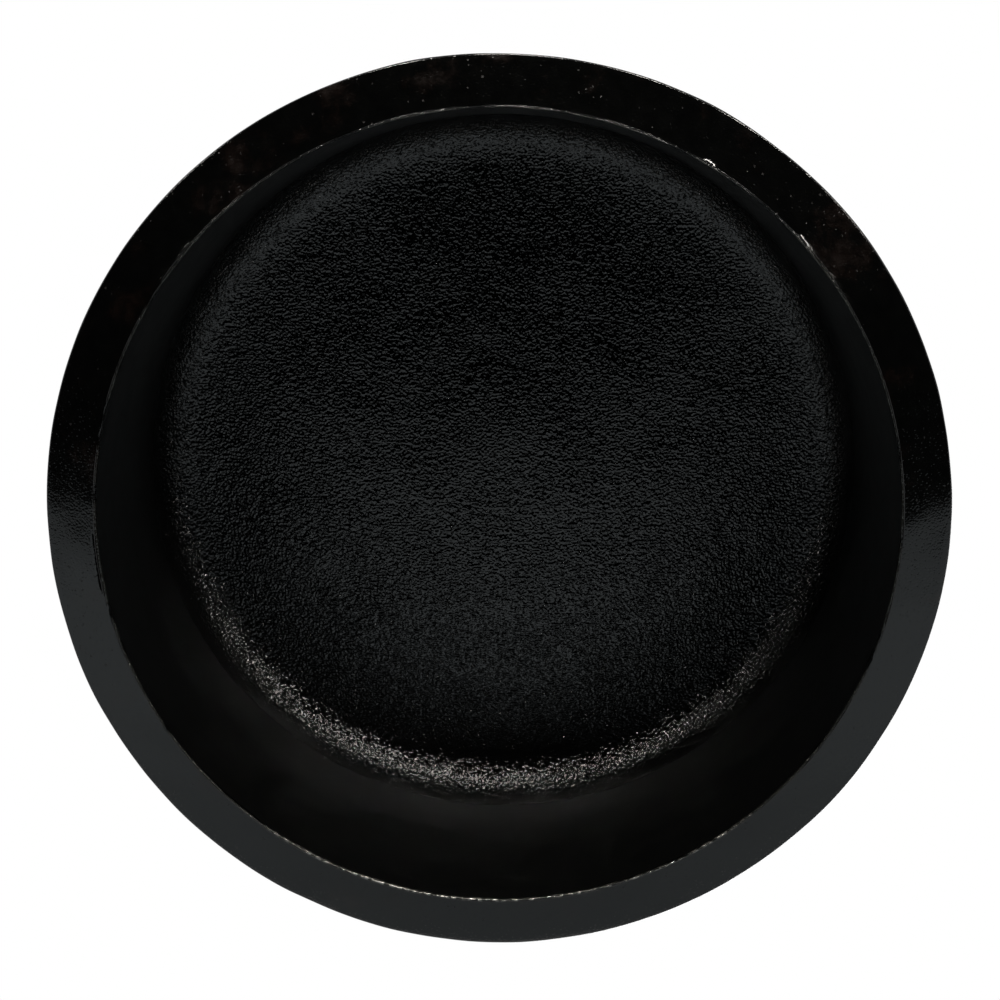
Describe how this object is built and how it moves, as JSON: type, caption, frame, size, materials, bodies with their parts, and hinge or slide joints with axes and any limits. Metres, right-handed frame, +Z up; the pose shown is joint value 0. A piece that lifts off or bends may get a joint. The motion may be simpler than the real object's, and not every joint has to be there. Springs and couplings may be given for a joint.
{
  "type": "garden sundial",
  "caption": "Hollow round cast-iron drum base with a brass horizontal dial plate, raised chapter ring and triangular gnomon, held by turn-buttons.",
  "frame": {"origin": "centre of the foot, on the surface that the drum stands on", "axes": "+Z up, +Y towards the dial's north (the XII mark), +X east"},
  "size_m": [0.2142, 0.2142, 0.1578],
  "materials": {
    "black_enamel": "black enamel over sand-cast iron, glossy inside the hollow and worn to bright iron along the foot's inner edge",
    "dial_brass": "weathered brass",
    "fastener_brass": "turned brass, lightly tarnished",
    "washer_steel": "plain stainless steel",
    "felt": "black pressed felt"
  },
  "bodies": {
    "base": {"base_casting": "black_enamel", "felt_liner": "felt", "button_screw_1": "fastener_brass", "button_screw_2": "fastener_brass", "button_screw_3": "fastener_brass", "button_washer_1": "washer_steel", "button_washer_2": "washer_steel", "button_washer_3": "washer_steel"},
    "dial": {"dial_plate": "dial_brass", "chapter_ring": "dial_brass", "ring_rivet_1": "fastener_brass", "ring_rivet_2": "fastener_brass", "ring_rivet_3": "fastener_brass", "ring_rivet_4": "fastener_brass", "ring_rivet_5": "fastener_brass", "ring_rivet_6": "fastener_brass", "gnomon": "dial_brass", "gnomon_screw_1": "fastener_brass", "gnomon_screw_2": "fastener_brass"},
    "turn_button_1": {"turn_button_1": "fastener_brass"},
    "turn_button_2": {"turn_button_2": "fastener_brass"},
    "turn_button_3": {"turn_button_3": "fastener_brass"}
  },
  "joints": [
    {"name": "dial_turn", "type": "hinge", "parent": "base", "child": "dial", "pos_m": [0, 0, 0.0821], "axis": [0, 0, 1], "continuous": true},
    {"name": "turn_button_1_swing", "type": "hinge", "parent": "base", "child": "turn_button_1", "pos_m": [0.08366, 0.0483, 0.0853], "axis": [0, 0, 1], "continuous": true},
    {"name": "turn_button_2_swing", "type": "hinge", "parent": "base", "child": "turn_button_2", "pos_m": [-0.08366, 0.0483, 0.0853], "axis": [0, 0, 1], "continuous": true},
    {"name": "turn_button_3_swing", "type": "hinge", "parent": "base", "child": "turn_button_3", "pos_m": [0, -0.0966, 0.0853], "axis": [0, 0, 1], "continuous": true}
  ]
}
